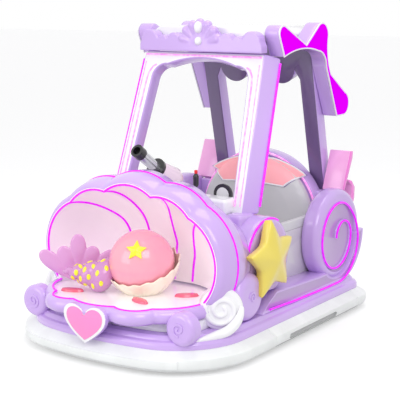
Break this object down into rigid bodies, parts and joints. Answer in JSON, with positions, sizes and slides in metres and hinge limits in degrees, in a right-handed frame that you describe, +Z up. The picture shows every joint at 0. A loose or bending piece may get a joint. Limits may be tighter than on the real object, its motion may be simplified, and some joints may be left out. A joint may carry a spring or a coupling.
{
  "type": "battery bumper car with a seashell nose",
  "caption": "Two-seat battery bumper car on hidden wheels: scallop-shell nose, snail swirls, windscreen frame, roof with side bows and a soft bumper ring.",
  "frame": {"origin": "on the floor under the middle of the car", "axes": "+X to the left of the car, -Y to its nose, +Z up"},
  "size_m": [1.2, 1.6679, 1.4856],
  "materials": {
    "lavender": "glossy lavender gel coat",
    "pale_body": "glossy off-white gel coat",
    "bumper": "satin pale grey soft bumper",
    "lining": "glossy pale pink to white",
    "pearl_white": "glossy white",
    "magenta": "lit magenta panel",
    "fin_pink": "light pink",
    "heart_pink": "glossy pink with a white border",
    "star_yellow": "glossy golden yellow",
    "seat_grey": "satin grey upholstery",
    "seat_pink": "satin salmon pink upholstery",
    "grip_black": "black",
    "blaster": "pale pink with silver and black rings",
    "pearl_rose": "glossy rose pearl",
    "mauve": "glossy mauve",
    "petal_red": "glossy crimson pink",
    "steel": "black painted steel",
    "battery": "matt black",
    "tyre": "black rubber",
    "caster_tyre": "grey rubber"
  },
  "bodies": {
    "car": {"bumper_front": "bumper", "bumper_rear": "bumper", "bumper_left": "bumper", "bumper_right": "bumper", "chassis_frame": "steel", "battery_pack": "battery", "deck": "lavender", "tub": "pale_body", "tub_lip": "seat_grey", "seat_cushion": "seat_grey", "seat_back": "seat_grey", "seat_panel": "seat_pink", "nose_body": "pale_body", "shell_tray": "lavender", "shell_upper": "lavender", "shell_lining": "lining", "heart_badge": "heart_pink", "nose_scrolls": "lavender", "corner_swirls": "pearl_white", "ball_scrolls": "lavender", "sill_panels": "lavender", "fender_domes": "lavender", "side_stars": "star_yellow", "snail_swirls": "lavender", "dash": "pale_body", "windscreen_frame": "lavender", "crown": "lavender", "crown_pearls": "pearl_white", "roof_panel": "pale_body", "rear_body": "lavender", "rear_frame": "lavender", "bow_sides": "lavender", "bow_panels": "magenta", "tail_fins": "fin_pink", "joystick": "grip_black", "grip_loop": "grip_black", "toy_blaster": "blaster", "shell_pearl": "pearl_rose", "conch_shell": "mauve", "tray_petals": "petal_red"},
    "wheel_left": {"drive_wheel_left": "tyre"},
    "fork_left": {"caster_fork_left": "steel"},
    "caster_left": {"caster_wheel_left": "caster_tyre"},
    "wheel_right": {"drive_wheel_right": "tyre"},
    "fork_right": {"caster_fork_right": "steel"},
    "caster_right": {"caster_wheel_right": "caster_tyre"}
  },
  "joints": [
    {"name": "wheel_left_spin", "type": "hinge", "parent": "car", "child": "wheel_left", "pos_m": [0.4, 0.38, 0.07], "axis": [1, 0, 0], "continuous": true},
    {"name": "fork_left_swivel", "type": "hinge", "parent": "car", "child": "fork_left", "pos_m": [0.33, -0.48, 0.085], "axis": [0, 0, 1], "continuous": true},
    {"name": "caster_left_spin", "type": "hinge", "parent": "fork_left", "child": "caster_left", "pos_m": [0.33, -0.454, 0.031], "axis": [1, 0, 0], "continuous": true},
    {"name": "wheel_right_spin", "type": "hinge", "parent": "car", "child": "wheel_right", "pos_m": [-0.4, 0.38, 0.07], "axis": [1, 0, 0], "continuous": true},
    {"name": "fork_right_swivel", "type": "hinge", "parent": "car", "child": "fork_right", "pos_m": [-0.33, -0.48, 0.085], "axis": [0, 0, 1], "continuous": true},
    {"name": "caster_right_spin", "type": "hinge", "parent": "fork_right", "child": "caster_right", "pos_m": [-0.33, -0.454, 0.031], "axis": [1, 0, 0], "continuous": true}
  ]
}
